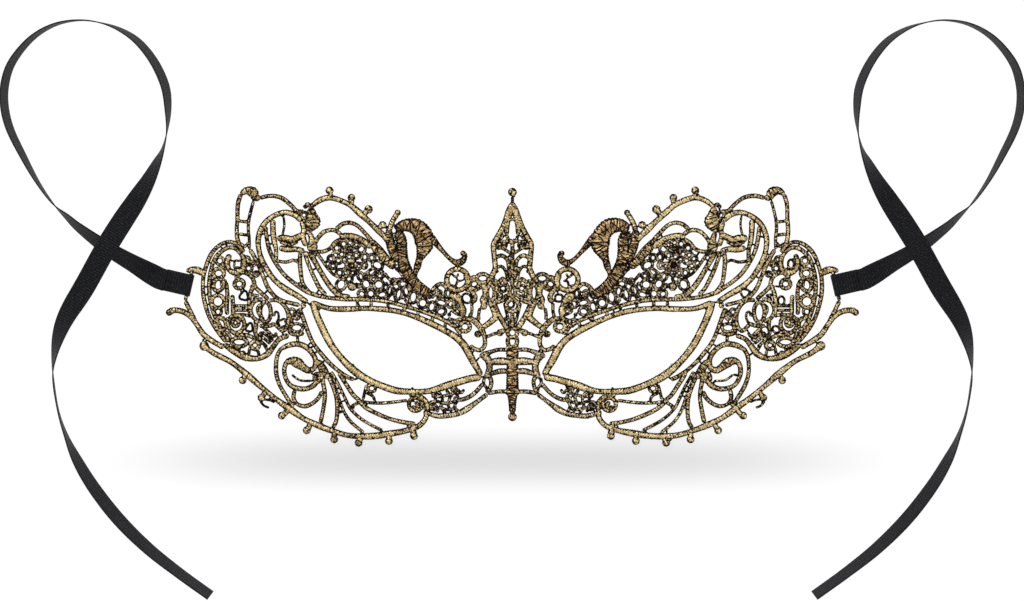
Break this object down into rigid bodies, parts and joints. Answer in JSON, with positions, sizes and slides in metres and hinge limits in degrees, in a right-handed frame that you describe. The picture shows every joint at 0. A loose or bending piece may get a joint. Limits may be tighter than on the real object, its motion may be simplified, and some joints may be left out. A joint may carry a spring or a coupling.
{
  "type": "venetian masquerade mask",
  "caption": "Guipure lace eye mask in antique gold thread, with almond eye openings, swan scrolls and a central spire, and a black ribbon tie turning on a bar at each side.",
  "frame": {"origin": "middle of the lace's outline, on its back face, which rests on the table", "axes": "+X along the brow to the wearer's left (the viewer's right), +Y towards the crest, +Z out of the mask's face"},
  "size_m": [0.3276, 0.1854, 0.0071],
  "materials": {
    "gold_lace": "satin-stitched metallic thread, antique gold with dark edges",
    "net_lace": "fine metallic thread net, antique gold and black",
    "dark_lace": "dense hatched needlework in dark bronze thread",
    "ribbon": "black grosgrain with a soft sheen"
  },
  "bodies": {
    "lace": {"spire": "gold_lace", "spire_finial": "gold_lace", "nose_blade": "dark_lace", "cross_bars": "net_lace", "left_eye_rim": "gold_lace", "right_eye_rim": "gold_lace", "left_lower_edge": "gold_lace", "right_lower_edge": "gold_lace", "left_side_loop": "gold_lace", "right_side_loop": "gold_lace", "left_side_tail": "gold_lace", "right_side_tail": "gold_lace", "left_crescent": "gold_lace", "right_crescent": "gold_lace", "left_crest_arch": "gold_lace", "right_crest_arch": "gold_lace", "left_crest_loop": "gold_lace", "right_crest_loop": "gold_lace", "left_side_rosette": "gold_lace", "right_side_rosette": "gold_lace", "left_swan_scroll": "dark_lace", "right_swan_scroll": "dark_lace", "left_bridge_ring": "gold_lace", "right_bridge_ring": "gold_lace", "left_bridge_scroll": "gold_lace", "right_bridge_scroll": "gold_lace", "left_crest_leaf": "gold_lace", "right_crest_leaf": "gold_lace", "left_crest_stems": "gold_lace", "right_crest_stems": "gold_lace", "left_lower_scroll": "gold_lace", "right_lower_scroll": "gold_lace", "left_petal_fan": "gold_lace", "right_petal_fan": "gold_lace", "left_grape_rosette": "net_lace", "right_grape_rosette": "net_lace", "left_brow_cord": "gold_lace", "right_brow_cord": "gold_lace", "left_brow_net": "net_lace", "right_brow_net": "net_lace", "left_nose_ring": "gold_lace", "right_nose_ring": "gold_lace", "left_nose_net": "net_lace", "right_nose_net": "net_lace"},
    "left_strap": {"left_sleeve": "ribbon", "left_ribbon": "ribbon"},
    "right_strap": {"right_sleeve": "ribbon", "right_ribbon": "ribbon"}
  },
  "joints": [
    {"name": "left_tie_hinge", "type": "hinge", "parent": "lace", "child": "left_strap", "pos_m": [-0.1035, 0.01, 0.00116], "axis": [0.225, 0.9744, 0], "range_deg": [0, 110]},
    {"name": "right_tie_hinge", "type": "hinge", "parent": "lace", "child": "right_strap", "pos_m": [0.1035, 0.01, 0.00116], "axis": [0.225, -0.9744, 0], "range_deg": [0, 110]}
  ]
}
